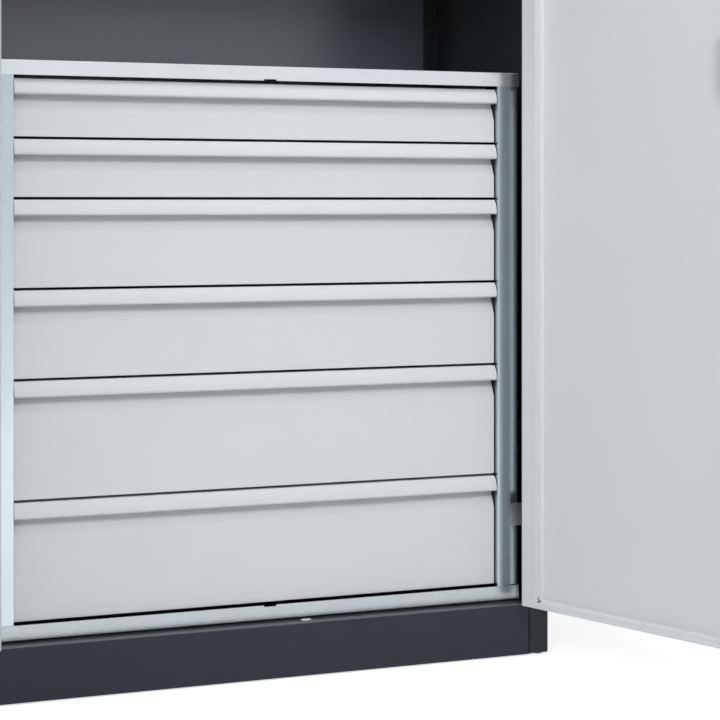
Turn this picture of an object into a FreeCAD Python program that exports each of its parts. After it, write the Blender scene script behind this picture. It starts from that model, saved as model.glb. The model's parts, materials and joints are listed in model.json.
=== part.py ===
import FreeCAD, Part
import math
import os

# Two-door workshop cabinet with a block of six drawers under two shelves.
# Frame: origin on the floor at the centre of the footprint, +X right, +Y back, +Z up, millimetres.
# The doors are drawn closed and then swung open to the rest position.

V = FreeCAD.Vector

# Carcass
WIDTH = 1050.0
DEPTH = 500.0
HEIGHT = 2000.0
SHEET = 1.5
CORNER_RADIUS = 3.0
FOOT_HEIGHT = 3.0
FOOT_RADIUS = 8.0
FOOT_TAPER = 1.2
FOOT_SIDE_INSET = 15.0
FOOT_END_INSET = 14.0
PLINTH_HEIGHT = 90.0
PLINTH_END_GAP = 0.6
PLINTH_TOP_FLANGE = 10.0
PLINTH_FOOT_FLANGE = 25.0
FLANGE_WIDTH = 38.0
REAR_FLANGE_WIDTH = 30.0
FLOOR_HEM = 25.0
FASCIA_HEIGHT = 40.0
FASCIA_REACH = 7.0
WALL_HOLE_RADIUS = 4.5
WALL_HOLE_SPACING = 700.0
WALL_HOLE_DROP = 120.0

# Slotted uprights
UPRIGHT_WIDTH = 30.0
UPRIGHT_DEPTH = 7.0
UPRIGHT_SHEET = 1.2
SLOT_PITCH = 15.0
SLOT_WIDTH = 11.0
SLOT_HEIGHT = 3.0
SLOT_START_GAP = 15.0
SLOT_TOP_GAP = 340.0

# Shelves on clips
SHELF_ROWS = (17, 38)
SHELF_LIP = 28.0
SHELF_HEM = 12.0
SHELF_SHEET = 1.2
SHELF_SIDE_GAP = 2.0
SHELF_END_GAP = 2.0
CLIP_WIDTH = 24.0
CLIP_SHEET = 2.0
CLIP_LEAF = 1.0
CLIP_REACH = 20.0
CLIP_HEIGHT = 22.0
CLIP_PLAY = 0.3

# Drawer block
BLOCK_SIDE_GAP = 8.0
BLOCK_DOOR_GAP = 2.0
BLOCK_REAR_GAP = 17.0
BLOCK_SHEET = 1.2
BLOCK_LIP = 25.2
BLOCK_BEND_RADIUS = 1.5
TRAY_PAD_HEIGHT = 2.7
TRAY_PAD_SIZE = 24.0
TRAY_PAD_INSET = 24.0
TRAY_TO_FRONT_GAP = 3.0
FRONT_TO_COVER_GAP = 5.2
LIP_JOINT_GAP = 0.6
NOTCH_OFFSET = 5.0
NOTCH_WIDTH = 22.0
NOTCH_HEIGHT = 2.6
POST_SHEET = 1.5
POST_FACE = 26.0
POST_STEP = 5.0
POST_FLANGE = 15.5
POST_DEPTH = 50.0
REAR_POST_WIDTH = 38.0
REAR_POST_DEPTH = 40.0
TAB_LIFT = 136.0
TAB_HEIGHT = 40.0
TAB_SHEET = 1.5

# Drawers
DEEP_PITCH = 200.0
MIDDLE_PITCH = 150.0
SHALLOW_PITCH = 100.0
FRONT_SIDE_GAP = 1.3
FRONT_GAP = 4.5
FRONT_SHEET = 1.2
FRONT_THICKNESS = 20.0
FRONT_HEM = 12.0
HANDLE_HEIGHT = 26.0
HANDLE_PROUD = 10.5
HANDLE_NOSE_RADIUS = 3.0
RECESS_DEPTH = 16.0
SLOPE_DROP = 31.0
FLAT_SETBACK = 1.5
BOX_REAR_GAP = 12.3
BOX_SHEET = 1.0
BOX_LIFT = 6.0
BOX_TOP_DROP = 24.0
BOX_RIM = 6.0

# Telescopic slides
SLIDE_SPACE = 12.7
SLIDE_HEIGHT = 45.0
SLIDE_SHEET = 1.5
SLIDE_GAP = 0.3
SLIDE_BEVEL = 3.0
SLIDE_LIFT = 34.0
SLIDE_END_GAP = 1.0
CABINET_RAIL_REACH = 9.5
MIDDLE_RAIL_REACH = 7.6
MIDDLE_RAIL_GAP = 1.2
DRAWER_RAIL_GAP = 0.4

# Doors
OPEN_ANGLE = 118.0
DOOR_THICKNESS = 23.0
DOOR_SHEET = 1.2
DOOR_BEND_RADIUS = 2.0
DOOR_SIDE_GAP = 2.5
DOOR_CENTRE_GAP = 3.0
DOOR_BOTTOM_GAP = 2.5
DOOR_TOP_GAP = 3.0
HINGE_BOX_WIDTH = 29.0
FREE_BOX_WIDTH = 43.0
DOOR_END_LIP = 8.5
FOLD_SLIT = 1.5
REBATE_WIDTH = 12.0
REBATE_START = 8.0
DRAIN_HOLE_RADIUS = 2.5
DRAIN_HOLE_LIFT = 7.0
CORNER_NOTCH_HEIGHT = 3.0
CORNER_NOTCH_DEPTH = 12.0
STRIP_SHEET = 1.2
STRIP_REACH = 11.0
STRIP_CLEARANCE = 1.0
STRIP_END_GAP = 16.0

# Lift-off hinges
KNUCKLE_RADIUS = 4.6
KNUCKLE_GAP = 0.4
KNUCKLE_LENGTH = 36.0
HINGE_PIN_RADIUS = 2.5
HINGE_PIN_LENGTH = 30.0
HINGE_PIN_CLEARANCE = 0.06
HINGE_SEAT_GAP = 0.3
HINGE_LUG_THICKNESS = 4.0
HINGE_LEAF_SHEET = 2.0
HINGE_LEAF_WIDTH = 26.0
HINGE_END_DISTANCE = 150.0

# Rod lock on the right door
LOCK_LEVEL = 1050.0
LOCK_INSET = 66.5
ROD_WIDTH = 14.0
ROD_THICKNESS = 4.0
ROD_COVER = 4.0
ROD_THROW = 15.0
ROD_END_INSET = 2.5
ROD_SLOT_PLAY = 0.8
ROD_GUIDE_PLAY = 0.3
CAM_ROD_GAP = 4.0
CAM_THICKNESS = 3.0
CAM_WIDTH = 16.0
CAM_END = 5.0
CAM_CORNER = 4.0
CAM_PIN_RADIUS = 2.5
CAM_PIN_SIDE_PLAY = 0.4
CAM_PIN_PLAY = 0.7
YOKE_GAP = 0.5
YOKE_EDGE = 2.5
YOKE_END = 7.0
YOKE_NECK = 23.5
SPINDLE_RADIUS = 5.0
SPINDLE_CLEARANCE = 0.1
SPINDLE_SQUARE = 7.0
CASE_WIDTH = 44.0
CASE_HEIGHT = 92.0
CASE_SHEET = 1.2
CASE_DOOR_INSET = 0.4
PLATE_WIDTH = 54.0
PLATE_HEIGHT = 70.0
PLATE_CORNER = 8.0
PLATE_THICKNESS = 3.0
HUB_RADIUS = 20.0
HUB_HEIGHT = 14.0
HUB_GAP = 0.3
GRIP_LENGTH = 84.0
GRIP_WIDTH = 20.0
GRIP_THICKNESS = 7.0
GRIP_CORNER = 5.0
KEY_PLUG_RADIUS = 6.0
KEY_PLUG_CLEARANCE = 0.08
KEY_PLUG_DEPTH = 9.0
KEY_PLUG_PROUD = 1.0
KEY_PLUG_END_GAP = 0.3
KEYWAY_WIDTH = 1.6
KEYWAY_HEIGHT = 7.0
KEYWAY_DEPTH = 6.0
GUIDE_END_DISTANCE = 200.0
GUIDE_LOCK_DISTANCE = 400.0
GUIDE_WIDTH = 24.0
GUIDE_HEIGHT = 16.0
GUIDE_COVER = 1.6
KEEPER_WIDTH = 17.0
KEEPER_LENGTH = 12.0
KEEPER_WALL = 1.0
KEEPER_DEPTH = 12.5

# Depth of every through cut past the sheet it opens, and the reach of a coordinate match
OVERCUT = 1.0
MATCH = 0.01

# Places that follow from the sizes
HALF_WIDTH = WIDTH / 2.0
INNER_HALF = HALF_WIDTH - SHEET
OPENING_HALF = HALF_WIDTH - FLANGE_WIDTH
FRONT = -DEPTH / 2.0
BACK = DEPTH / 2.0
REAR_INNER = BACK - 2.0 * SHEET
PLINTH_TOP = FOOT_HEIGHT + PLINTH_HEIGHT
FLOOR_TOP = PLINTH_TOP + SHEET
OPENING_TOP = HEIGHT - FASCIA_HEIGHT
DOOR_INSIDE = FRONT + DOOR_THICKNESS
DOOR_HINGE_EDGE = OPENING_HALF - DOOR_SIDE_GAP
DOOR_FREE_EDGE = DOOR_CENTRE_GAP / 2.0
DOOR_BOTTOM = FLOOR_TOP + DOOR_BOTTOM_GAP
DOOR_TOP = OPENING_TOP - DOOR_TOP_GAP
BLOCK_FRONT = DOOR_INSIDE + BLOCK_DOOR_GAP
BLOCK_BACK = REAR_INNER - BLOCK_REAR_GAP
BLOCK_HALF_WIDTH = OPENING_HALF - BLOCK_SIDE_GAP
TRAY_BOTTOM = FLOOR_TOP + TRAY_PAD_HEIGHT
TRAY_LIP_TOP = TRAY_BOTTOM + BLOCK_LIP
PITCHES = (DEEP_PITCH, DEEP_PITCH, MIDDLE_PITCH, MIDDLE_PITCH, SHALLOW_PITCH, SHALLOW_PITCH)
STACK_BOTTOM = TRAY_LIP_TOP + TRAY_TO_FRONT_GAP - FRONT_GAP
STACK_TOP = STACK_BOTTOM + sum(PITCHES)
COVER_LIP_BOTTOM = STACK_TOP + FRONT_TO_COVER_GAP
COVER_TOP = COVER_LIP_BOTTOM + BLOCK_LIP
POST_LOW = TRAY_BOTTOM + BLOCK_SHEET
POST_HIGH = COVER_TOP - BLOCK_SHEET
POST_OUTER = BLOCK_HALF_WIDTH - BLOCK_SHEET
POST_STEP_X = POST_OUTER - POST_FLANGE
POST_INNER = POST_STEP_X - POST_FACE
FRONT_HALF_WIDTH = POST_INNER - FRONT_SIDE_GAP
BOX_HALF_WIDTH = POST_INNER - SLIDE_SPACE
BOX_FRONT = BLOCK_FRONT + HANDLE_PROUD + FRONT_THICKNESS
BOX_BACK = BLOCK_BACK - BLOCK_SHEET - POST_SHEET - BOX_REAR_GAP
FRONT_UPRIGHT_FACE = BLOCK_FRONT + UPRIGHT_DEPTH
REAR_UPRIGHT_FACE = REAR_INNER - UPRIGHT_DEPTH
FIRST_SLOT = COVER_TOP + SLOT_START_GAP
SLOT_COUNT = int((HEIGHT - SLOT_TOP_GAP - FIRST_SLOT) / SLOT_PITCH) + 1
SHELF_SEATS = [FIRST_SLOT + row * SLOT_PITCH + CLIP_SHEET for row in SHELF_ROWS]
HINGE_X = OPENING_HALF - DOOR_SIDE_GAP / 2.0
HINGE_Y = FRONT - KNUCKLE_RADIUS - KNUCKLE_GAP
HINGE_LEVELS = (
    DOOR_BOTTOM + HINGE_END_DISTANCE,
    (DOOR_BOTTOM + DOOR_TOP) / 2.0,
    DOOR_TOP - HINGE_END_DISTANCE,
)
LOCK_X = DOOR_FREE_EDGE + LOCK_INSET
ROD_BACK = DOOR_INSIDE - ROD_COVER
ROD_FRONT = ROD_BACK - ROD_THICKNESS
ROD_Y = (ROD_FRONT + ROD_BACK) / 2.0
CAM_BACK = ROD_FRONT - CAM_ROD_GAP
CAM_FRONT = CAM_BACK - CAM_THICKNESS
CAM_PIN_OFFSET = ROD_THROW / 2.0
CAM_PIN_ORBIT = CAM_PIN_OFFSET * math.sqrt(2.0)
PLATE_FACE = FRONT - PLATE_THICKNESS
GUIDE_LEVELS = (
    DOOR_BOTTOM + GUIDE_END_DISTANCE,
    LOCK_LEVEL - GUIDE_LOCK_DISTANCE,
    LOCK_LEVEL + GUIDE_LOCK_DISTANCE,
    DOOR_TOP - GUIDE_END_DISTANCE,
)


def box(x0, x1, y0, y1, z0, z1):
    """A block between two opposite corners, given in any order."""
    corner = V(min(x0, x1), min(y0, y1), min(z0, z1))
    return Part.makeBox(abs(x1 - x0), abs(y1 - y0), abs(z1 - z0), corner)


def bevelled(half_width, half_height, corner):
    """Outline of a rectangle about the origin with its corners cut off."""
    quarter = [(half_width, half_height - corner), (half_width - corner, half_height)]
    upper = quarter + [(-x, y) for x, y in quarter[::-1]]
    return upper + [(-x, -y) for x, y in upper]


def extruded(points, axis, start, end):
    """A solid from outline points: (y, z) along x, (x, z) along y or (x, y) along z."""
    if axis == "x":
        corners = [V(start, a, b) for a, b in points]
        run = V(end - start, 0, 0)
    elif axis == "y":
        corners = [V(a, start, b) for a, b in points]
        run = V(0, end - start, 0)
    else:
        corners = [V(a, b, start) for a, b in points]
        run = V(0, 0, end - start)
    return Part.Face(Part.makePolygon(corners + corners[:1])).extrude(run)


def folded(path, thickness):
    """Section of a folded sheet: one face as given, the other mitred a thickness to its left."""
    other = []
    for i, (a, b) in enumerate(path):
        normals = []
        for first, second in ((i - 1, i), (i, i + 1)):
            if first >= 0 and second < len(path):
                along = path[second][0] - path[first][0]
                across = path[second][1] - path[first][1]
                run = math.hypot(along, across)
                normals.append((-across / run, along / run))
        total_a = sum(normal[0] for normal in normals)
        total_b = sum(normal[1] for normal in normals)
        reach = thickness * len(normals) / (total_a * total_a + total_b * total_b)
        other.append((a + total_a * reach, b + total_b * reach))
    return list(path) + other[::-1]


def rounded(shape, radius, **place):
    """The shape with its straight edges at the given coordinates rounded."""
    picked = [
        edge
        for edge in shape.Edges
        if all(
            abs(getattr(vertex, axis) - value) < MATCH
            for vertex in edge.Vertexes
            for axis, value in place.items()
        )
    ]
    return shape.makeFillet(radius, picked)


def joined(shapes):
    """One solid from pieces that share faces or volume."""
    shapes = list(shapes)
    return shapes[0].multiFuse(shapes[1:]).removeSplitter()


def mirrored(shape):
    """The same piece on the other side of the centre plane."""
    return shape.mirror(V(0, 0, 0), V(1, 0, 0))


def both_sides(shape):
    """The right-hand piece and its mirror image."""
    return [shape, mirrored(shape)]


def group(shapes):
    """Several separate solids kept in one node."""
    solids = []
    for shape in shapes:
        solids.extend(shape.Solids)
    return Part.makeCompound(solids)


def swung_open(shape):
    """A right-door piece turned from closed to the rest angle."""
    turned = shape.copy()
    turned.rotate(V(HINGE_X, HINGE_Y, 0), V(0, 0, 1), OPEN_ANGLE)
    return turned


def save(name, shape):
    """Writes one node."""
    shape.exportStep("parts/" + name + ".step")


def side_panel():
    """Right side: one sheet folded round a front channel and a rear flange, with a foot flange."""
    plan = [
        (OPENING_HALF, BLOCK_FRONT),
        (OPENING_HALF, FRONT),
        (HALF_WIDTH, FRONT),
        (HALF_WIDTH, BACK),
        (HALF_WIDTH - REAR_FLANGE_WIDTH, BACK),
    ]
    wall = extruded(folded(plan, SHEET), "z", FOOT_HEIGHT, HEIGHT)
    foot = box(OPENING_HALF, HALF_WIDTH, FRONT, BACK, FOOT_HEIGHT, FOOT_HEIGHT + SHEET)
    seat = box(OPENING_HALF - OVERCUT, INNER_HALF, FRONT + SHEET, BLOCK_FRONT + OVERCUT,
               HEIGHT - SHEET, HEIGHT + OVERCUT)
    panel = joined([wall, foot]).cut(seat)
    panel = rounded(panel, CORNER_RADIUS, X=HALF_WIDTH, Y=FRONT)
    return rounded(panel, CORNER_RADIUS, X=HALF_WIDTH, Z=FOOT_HEIGHT)


def keeper_seat(low, high):
    """The cut-out that a rod keeper drops into."""
    return box(LOCK_X - KEEPER_WIDTH / 2, LOCK_X + KEEPER_WIDTH / 2,
               ROD_Y - KEEPER_LENGTH / 2, ROD_Y + KEEPER_LENGTH / 2, low, high)


def floor_panel():
    """Floor sheet cut round the front channels, with a rear hem and the seat of a rod keeper."""
    outline = [
        (-OPENING_HALF, FRONT),
        (OPENING_HALF, FRONT),
        (OPENING_HALF, BLOCK_FRONT),
        (INNER_HALF, BLOCK_FRONT),
        (INNER_HALF, REAR_INNER),
        (-INNER_HALF, REAR_INNER),
        (-INNER_HALF, BLOCK_FRONT),
        (-OPENING_HALF, BLOCK_FRONT),
    ]
    sheet = extruded(outline, "z", PLINTH_TOP, FLOOR_TOP)
    hem_back = REAR_INNER - SHEET
    hem = box(-INNER_HALF, INNER_HALF, hem_back - SHEET, hem_back, PLINTH_TOP - FLOOR_HEM, PLINTH_TOP)
    return joined([sheet, hem]).cut(keeper_seat(PLINTH_TOP - OVERCUT, FLOOR_TOP + OVERCUT))


def plinth_front():
    """Front plinth: a channel section with its flanges to the back."""
    section = [
        (FRONT + PLINTH_TOP_FLANGE, PLINTH_TOP),
        (FRONT, PLINTH_TOP),
        (FRONT, FOOT_HEIGHT),
        (FRONT + PLINTH_FOOT_FLANGE, FOOT_HEIGHT),
    ]
    half = OPENING_HALF - PLINTH_END_GAP
    return extruded(folded(section, SHEET), "x", -half, half)


def plinth_rear():
    """Rear plinth angle on the foot flanges of the sides, under the floor."""
    section = [
        (REAR_INNER, PLINTH_TOP),
        (REAR_INNER, FOOT_HEIGHT + SHEET),
        (REAR_INNER - PLINTH_FOOT_FLANGE, FOOT_HEIGHT + SHEET),
    ]
    return extruded(folded(section, -SHEET), "x", -INNER_HALF, INNER_HALF)


def back_panel():
    """Back sheet in front of the rear flanges, with two holes for fixing it to a wall."""
    sheet = box(-INNER_HALF, INNER_HALF, REAR_INNER, REAR_INNER + SHEET, FOOT_HEIGHT + SHEET, HEIGHT)
    for x in (-WALL_HOLE_SPACING / 2, WALL_HOLE_SPACING / 2):
        mouth = V(x, REAR_INNER - OVERCUT, HEIGHT - WALL_HOLE_DROP)
        sheet = sheet.cut(
            Part.makeCylinder(WALL_HOLE_RADIUS, SHEET + 2 * OVERCUT, mouth, V(0, 1, 0)))
    return sheet


def top_panel():
    """Top sheet folded down, back and up into a hollow fascia, with the seat of a rod keeper."""
    fascia_back = DOOR_INSIDE + FASCIA_REACH
    section = [
        (fascia_back, HEIGHT - SHEET),
        (fascia_back, OPENING_TOP),
        (FRONT, OPENING_TOP),
        (FRONT, HEIGHT),
        (REAR_INNER, HEIGHT),
    ]
    fold = extruded(folded(section, -SHEET), "x", -OPENING_HALF, OPENING_HALF)
    sheet = box(-INNER_HALF, INNER_HALF, FRONT + SHEET, REAR_INNER, HEIGHT - SHEET, HEIGHT)
    panel = joined([fold, sheet])
    return panel.cut(keeper_seat(OPENING_TOP - OVERCUT, OPENING_TOP + SHEET + OVERCUT))


def foot_glides():
    """Four round glides under the foot flanges of the sides, tapered to the ground."""
    glides = []
    for y in (FRONT + FOOT_END_INSET, BACK - FOOT_END_INSET):
        ground = V(HALF_WIDTH - FOOT_SIDE_INSET, y, 0)
        pad = Part.makeCone(FOOT_RADIUS - FOOT_TAPER, FOOT_RADIUS, FOOT_HEIGHT, ground, V(0, 0, 1))
        glides.extend(both_sides(pad))
    return group(glides)


def slotted_upright(face, depth):
    """Right-hand channel strip: slotted web on y = face, legs towards y = face + depth."""
    outer = INNER_HALF
    inner = INNER_HALF - UPRIGHT_WIDTH
    way = math.copysign(1.0, depth)
    section = [(inner, face + depth), (inner, face), (outer, face), (outer, face + depth)]
    strip = extruded(folded(section, way * UPRIGHT_SHEET), "z", FLOOR_TOP, HEIGHT - SHEET)
    middle = (inner + outer) / 2
    slots = []
    for row in range(SLOT_COUNT):
        level = FIRST_SLOT + row * SLOT_PITCH
        slots.append(box(middle - SLOT_WIDTH / 2, middle + SLOT_WIDTH / 2, face - way * OVERCUT,
                         face + way * (UPRIGHT_SHEET + OVERCUT), level - SLOT_HEIGHT / 2,
                         level + SLOT_HEIGHT / 2))
    return strip.cut(Part.makeCompound(slots))


def sheet_pan(half, front, back, low, high, sheet, open_top):
    """A rectangular pan of folded sheet, open at its top or at its underside."""
    outer = box(-half, half, front, back, low, high)
    floor = low + sheet if open_top else low - OVERCUT
    ceiling = high + OVERCUT if open_top else high - sheet
    hollow = box(-half + sheet, half - sheet, front + sheet, back - sheet, floor, ceiling)
    return outer.cut(hollow)


def shelf(seat):
    """Shelf pan with lips all round, hemmed inwards along their lower edge."""
    half = INNER_HALF - SHELF_SIDE_GAP
    front = FRONT_UPRIGHT_FACE + SHELF_END_GAP
    back = REAR_UPRIGHT_FACE - SHELF_END_GAP
    high = seat + SHELF_LIP
    pan = sheet_pan(half, front, back, seat, high, SHELF_SHEET, False)
    hem = box(-half, half, front, back, seat, seat + SHELF_SHEET)
    mouth = box(-half + SHELF_HEM, half - SHELF_HEM, front + SHELF_HEM, back - SHELF_HEM,
                seat - OVERCUT, seat + SHELF_SHEET + OVERCUT)
    return rounded(joined([pan, hem.cut(mouth)]), SHELF_SHEET, Y=front, Z=high)


def shelf_clip(seat, face, way):
    """Right-hand clip: a leaf on the upright, a hook in its slot, a tongue under the shelf."""
    middle = INNER_HALF - UPRIGHT_WIDTH / 2
    left = middle - CLIP_WIDTH / 2
    right = middle + CLIP_WIDTH / 2
    slot = seat - CLIP_SHEET
    hook_half = SLOT_WIDTH / 2 - CLIP_PLAY
    hook_rise = SLOT_HEIGHT / 2 - CLIP_PLAY
    angle = [(face, seat - CLIP_HEIGHT), (face, seat), (face + way * CLIP_REACH, seat)]
    tongue = [(face + way * CLIP_REACH, seat - CLIP_SHEET), (face + way * CLIP_LEAF, seat - CLIP_SHEET)]
    heel = [(face + way * CLIP_LEAF, seat - CLIP_HEIGHT)]
    body = extruded(angle + tongue + heel, "x", left, right)
    hook = box(middle - hook_half, middle + hook_half, face, face - way * (UPRIGHT_SHEET + OVERCUT),
               slot - hook_rise, slot + hook_rise)
    return joined([body, hook])


def lip_notch(low, high):
    """The relief notch near the middle of a block lip."""
    return box(NOTCH_OFFSET - NOTCH_WIDTH / 2, NOTCH_OFFSET + NOTCH_WIDTH / 2, BLOCK_FRONT - OVERCUT,
               BLOCK_FRONT + BLOCK_SHEET + OVERCUT, low, high)


def block_cover():
    """Top of the drawer block: a pan turned over, with a notch in its front lip."""
    pan = sheet_pan(BLOCK_HALF_WIDTH, BLOCK_FRONT, BLOCK_BACK, COVER_LIP_BOTTOM, COVER_TOP,
                    BLOCK_SHEET, False)
    pan = rounded(pan, BLOCK_BEND_RADIUS, Y=BLOCK_FRONT, Z=COVER_TOP)
    return pan.cut(lip_notch(COVER_LIP_BOTTOM - OVERCUT, COVER_LIP_BOTTOM + NOTCH_HEIGHT))


def block_tray():
    """Bottom of the drawer block: a pan with a notch in its front lip, on four pads."""
    pan = sheet_pan(BLOCK_HALF_WIDTH, BLOCK_FRONT, BLOCK_BACK, TRAY_BOTTOM, TRAY_LIP_TOP,
                    BLOCK_SHEET, True)
    pan = rounded(pan, BLOCK_BEND_RADIUS, Y=BLOCK_FRONT, Z=TRAY_BOTTOM)
    pan = pan.cut(lip_notch(TRAY_LIP_TOP - NOTCH_HEIGHT, TRAY_LIP_TOP + OVERCUT))
    outer_x = BLOCK_HALF_WIDTH - TRAY_PAD_INSET
    pads = []
    for y in (BLOCK_FRONT + TRAY_PAD_INSET, BLOCK_BACK - TRAY_PAD_INSET - TRAY_PAD_SIZE):
        pads.extend(both_sides(box(outer_x - TRAY_PAD_SIZE, outer_x, y, y + TRAY_PAD_SIZE,
                                   FLOOR_TOP, TRAY_BOTTOM)))
    return joined([pan] + pads)


def front_post():
    """Right front post: slide wall, face in the plane of the lips, step and flange."""
    plan = [
        (POST_INNER, BLOCK_FRONT + POST_DEPTH),
        (POST_INNER, BLOCK_FRONT),
        (POST_STEP_X, BLOCK_FRONT),
        (POST_STEP_X, BLOCK_FRONT + POST_STEP),
        (POST_OUTER, BLOCK_FRONT + POST_STEP),
    ]
    post = extruded(folded(plan, POST_SHEET), "z", POST_LOW, POST_HIGH)
    foot = (POST_LOW - OVERCUT, TRAY_LIP_TOP + LIP_JOINT_GAP)
    head = (COVER_LIP_BOTTOM - LIP_JOINT_GAP, POST_HIGH + OVERCUT)
    for low, high in (foot, head):
        post = post.cut(box(POST_INNER - OVERCUT, POST_OUTER, BLOCK_FRONT - OVERCUT,
                            BLOCK_FRONT + BLOCK_SHEET, low, high))
    return post


def rear_post():
    """Right rear post: an angle that carries the back ends of the slides."""
    back = BLOCK_BACK - BLOCK_SHEET
    plan = [
        (POST_INNER, back - REAR_POST_DEPTH),
        (POST_INNER, back),
        (POST_INNER + REAR_POST_WIDTH, back),
    ]
    return extruded(folded(plan, -POST_SHEET), "z", POST_LOW, POST_HIGH)


def block_bracket():
    """Right tab between the front post and the channel of the side panel."""
    low = FLOOR_TOP + TAB_LIFT
    plan = [
        (OPENING_HALF + SHEET, BLOCK_FRONT),
        (POST_STEP_X, BLOCK_FRONT),
        (POST_STEP_X, BLOCK_FRONT + POST_STEP),
    ]
    tab = extruded(folded(plan, -TAB_SHEET), "z", low, low + TAB_HEIGHT)
    foot = box(POST_STEP_X, POST_OUTER, BLOCK_FRONT + POST_STEP - TAB_SHEET, BLOCK_FRONT + POST_STEP,
               low, low + TAB_HEIGHT)
    return joined([tab, foot])


def drawer_front(low, high):
    """Folded front: rolled handle, finger recess, slope and flat, closed by end plates."""
    nose = BLOCK_FRONT
    top = BLOCK_FRONT + HANDLE_PROUD
    recess = top + RECESS_DEPTH
    flat = top + FLAT_SETBACK
    rear = top + FRONT_THICKNESS
    under = high - HANDLE_HEIGHT
    slope = under - SLOPE_DROP
    roll_start = V(0, nose, under + 1.4 * HANDLE_NOSE_RADIUS)
    roll_end = V(0, nose + 1.2 * HANDLE_NOSE_RADIUS, under)
    roll_middle = V(0, nose + 0.35 * HANDLE_NOSE_RADIUS, under + 0.35 * HANDLE_NOSE_RADIUS)
    crown_middle = V(0, nose + 0.24 * HANDLE_PROUD, high - 0.4 * HANDLE_HEIGHT)
    crown = Part.Arc(V(0, top, high), crown_middle, roll_start)
    roll = Part.Arc(roll_start, roll_middle, roll_end)
    corners = [
        roll_end,
        V(0, recess, under),
        V(0, flat, slope),
        V(0, flat, low),
        V(0, rear, low),
        V(0, rear, high),
        V(0, top, high),
    ]
    edges = [crown.toShape(), roll.toShape()]
    for first, second in zip(corners[:-1], corners[1:]):
        edges.append(Part.LineSegment(first, second).toShape())
    outline = Part.Wire(edges)
    lining = outline.makeOffset2D(-FRONT_SHEET, 1)
    body = Part.Face(outline).extrude(V(2 * FRONT_HALF_WIDTH, 0, 0))
    body.translate(V(-FRONT_HALF_WIDTH, 0, 0))
    inner_half = FRONT_HALF_WIDTH - FRONT_SHEET
    hollow = Part.Face(lining).extrude(V(2 * inner_half, 0, 0))
    hollow.translate(V(-inner_half, 0, 0))
    mouth_half = FRONT_HALF_WIDTH - FRONT_HEM
    mouth = box(-mouth_half, mouth_half, rear - FRONT_SHEET - OVERCUT, rear + OVERCUT,
                low + FRONT_HEM, high - FRONT_HEM)
    return body.cut(hollow).cut(mouth)


def drawer_box(low, high):
    """Drawer tray behind the front, with a rim turned in along both sides."""
    top = high - BOX_TOP_DROP
    pan = sheet_pan(BOX_HALF_WIDTH, BOX_FRONT, BOX_BACK, low + BOX_LIFT, top, BOX_SHEET, True)
    rim = box(BOX_HALF_WIDTH - BOX_RIM, BOX_HALF_WIDTH, BOX_FRONT, BOX_BACK, top - BOX_SHEET, top)
    return joined([pan] + both_sides(rim))


def slide_member(web_x, tip_x, half_height, level):
    """Right-hand rolled slide member: a web and two flanges with bevelled ball tracks."""
    way = math.copysign(1.0, tip_x - web_x)
    turn = web_x + way * SLIDE_BEVEL
    section = [
        (tip_x, level + half_height),
        (turn, level + half_height),
        (web_x, level + half_height - SLIDE_BEVEL),
        (web_x, level - half_height + SLIDE_BEVEL),
        (turn, level - half_height),
        (tip_x, level - half_height),
    ]
    return extruded(folded(section, way * SLIDE_SHEET), "y", BOX_FRONT + SLIDE_END_GAP,
                    BOX_BACK - SLIDE_END_GAP)


def slide(low):
    """Cabinet, middle and drawer member of one drawer's right-hand slide."""
    level = low + SLIDE_LIFT
    nest = SLIDE_SHEET + SLIDE_GAP
    cabinet_half = SLIDE_HEIGHT / 2
    middle_half = cabinet_half - nest
    drawer_half = middle_half - nest
    middle_web = POST_INNER - SLIDE_SHEET - MIDDLE_RAIL_GAP
    cabinet = slide_member(POST_INNER, POST_INNER - CABINET_RAIL_REACH, cabinet_half, level)
    middle = slide_member(middle_web, middle_web - MIDDLE_RAIL_REACH, middle_half, level)
    inner_bevel = SLIDE_BEVEL - SLIDE_SHEET * (2.0 - math.sqrt(2.0))
    drawer_tip = middle_web - SLIDE_SHEET - inner_bevel - DRAWER_RAIL_GAP
    drawer = slide_member(BOX_HALF_WIDTH, drawer_tip, drawer_half, level)
    return cabinet, middle, drawer


def door_pan():
    """Right door, closed: skin with box folds all round its inside and a drain hole."""
    t = DOOR_SHEET
    x0 = DOOR_FREE_EDGE
    x1 = DOOR_HINGE_EDGE
    z0 = DOOR_BOTTOM
    z1 = DOOR_TOP
    fold = FRONT + t + FOLD_SLIT
    left = x0 + FREE_BOX_WIDTH
    right = x1 - HINGE_BOX_WIDTH
    low = z0 + DOOR_END_LIP
    high = z1 - DOOR_END_LIP
    shell = box(x0, x1, FRONT, DOOR_INSIDE, z0, z1)
    shell = shell.cut(box(x0 + t, x1 - t, FRONT + t, DOOR_INSIDE - t, z0 + t, z1 - t))
    shell = shell.cut(box(left, right, FRONT + t, DOOR_INSIDE + OVERCUT, low, high))
    folds = box(left - t, right + t, fold, DOOR_INSIDE, low - t, high + t)
    folds = folds.cut(box(left, right, fold - OVERCUT, DOOR_INSIDE + OVERCUT, low, high))
    pan = joined([shell, folds])
    pan = rounded(pan, DOOR_BEND_RADIUS, X=x1, Y=DOOR_INSIDE)
    pan = rounded(pan, DOOR_BEND_RADIUS, X=x1, Y=FRONT)
    drain_y = (fold + DOOR_INSIDE) / 2
    drain = Part.makeCylinder(DRAIN_HOLE_RADIUS, t + 2 * OVERCUT,
                              V(right - OVERCUT, drain_y, low + DRAIN_HOLE_LIFT), V(1, 0, 0))
    notch = box(right - OVERCUT, right + t + OVERCUT, fold - OVERCUT, fold + CORNER_NOTCH_DEPTH,
                low, low + CORNER_NOTCH_HEIGHT)
    return pan.cut(drain).cut(notch)


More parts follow.
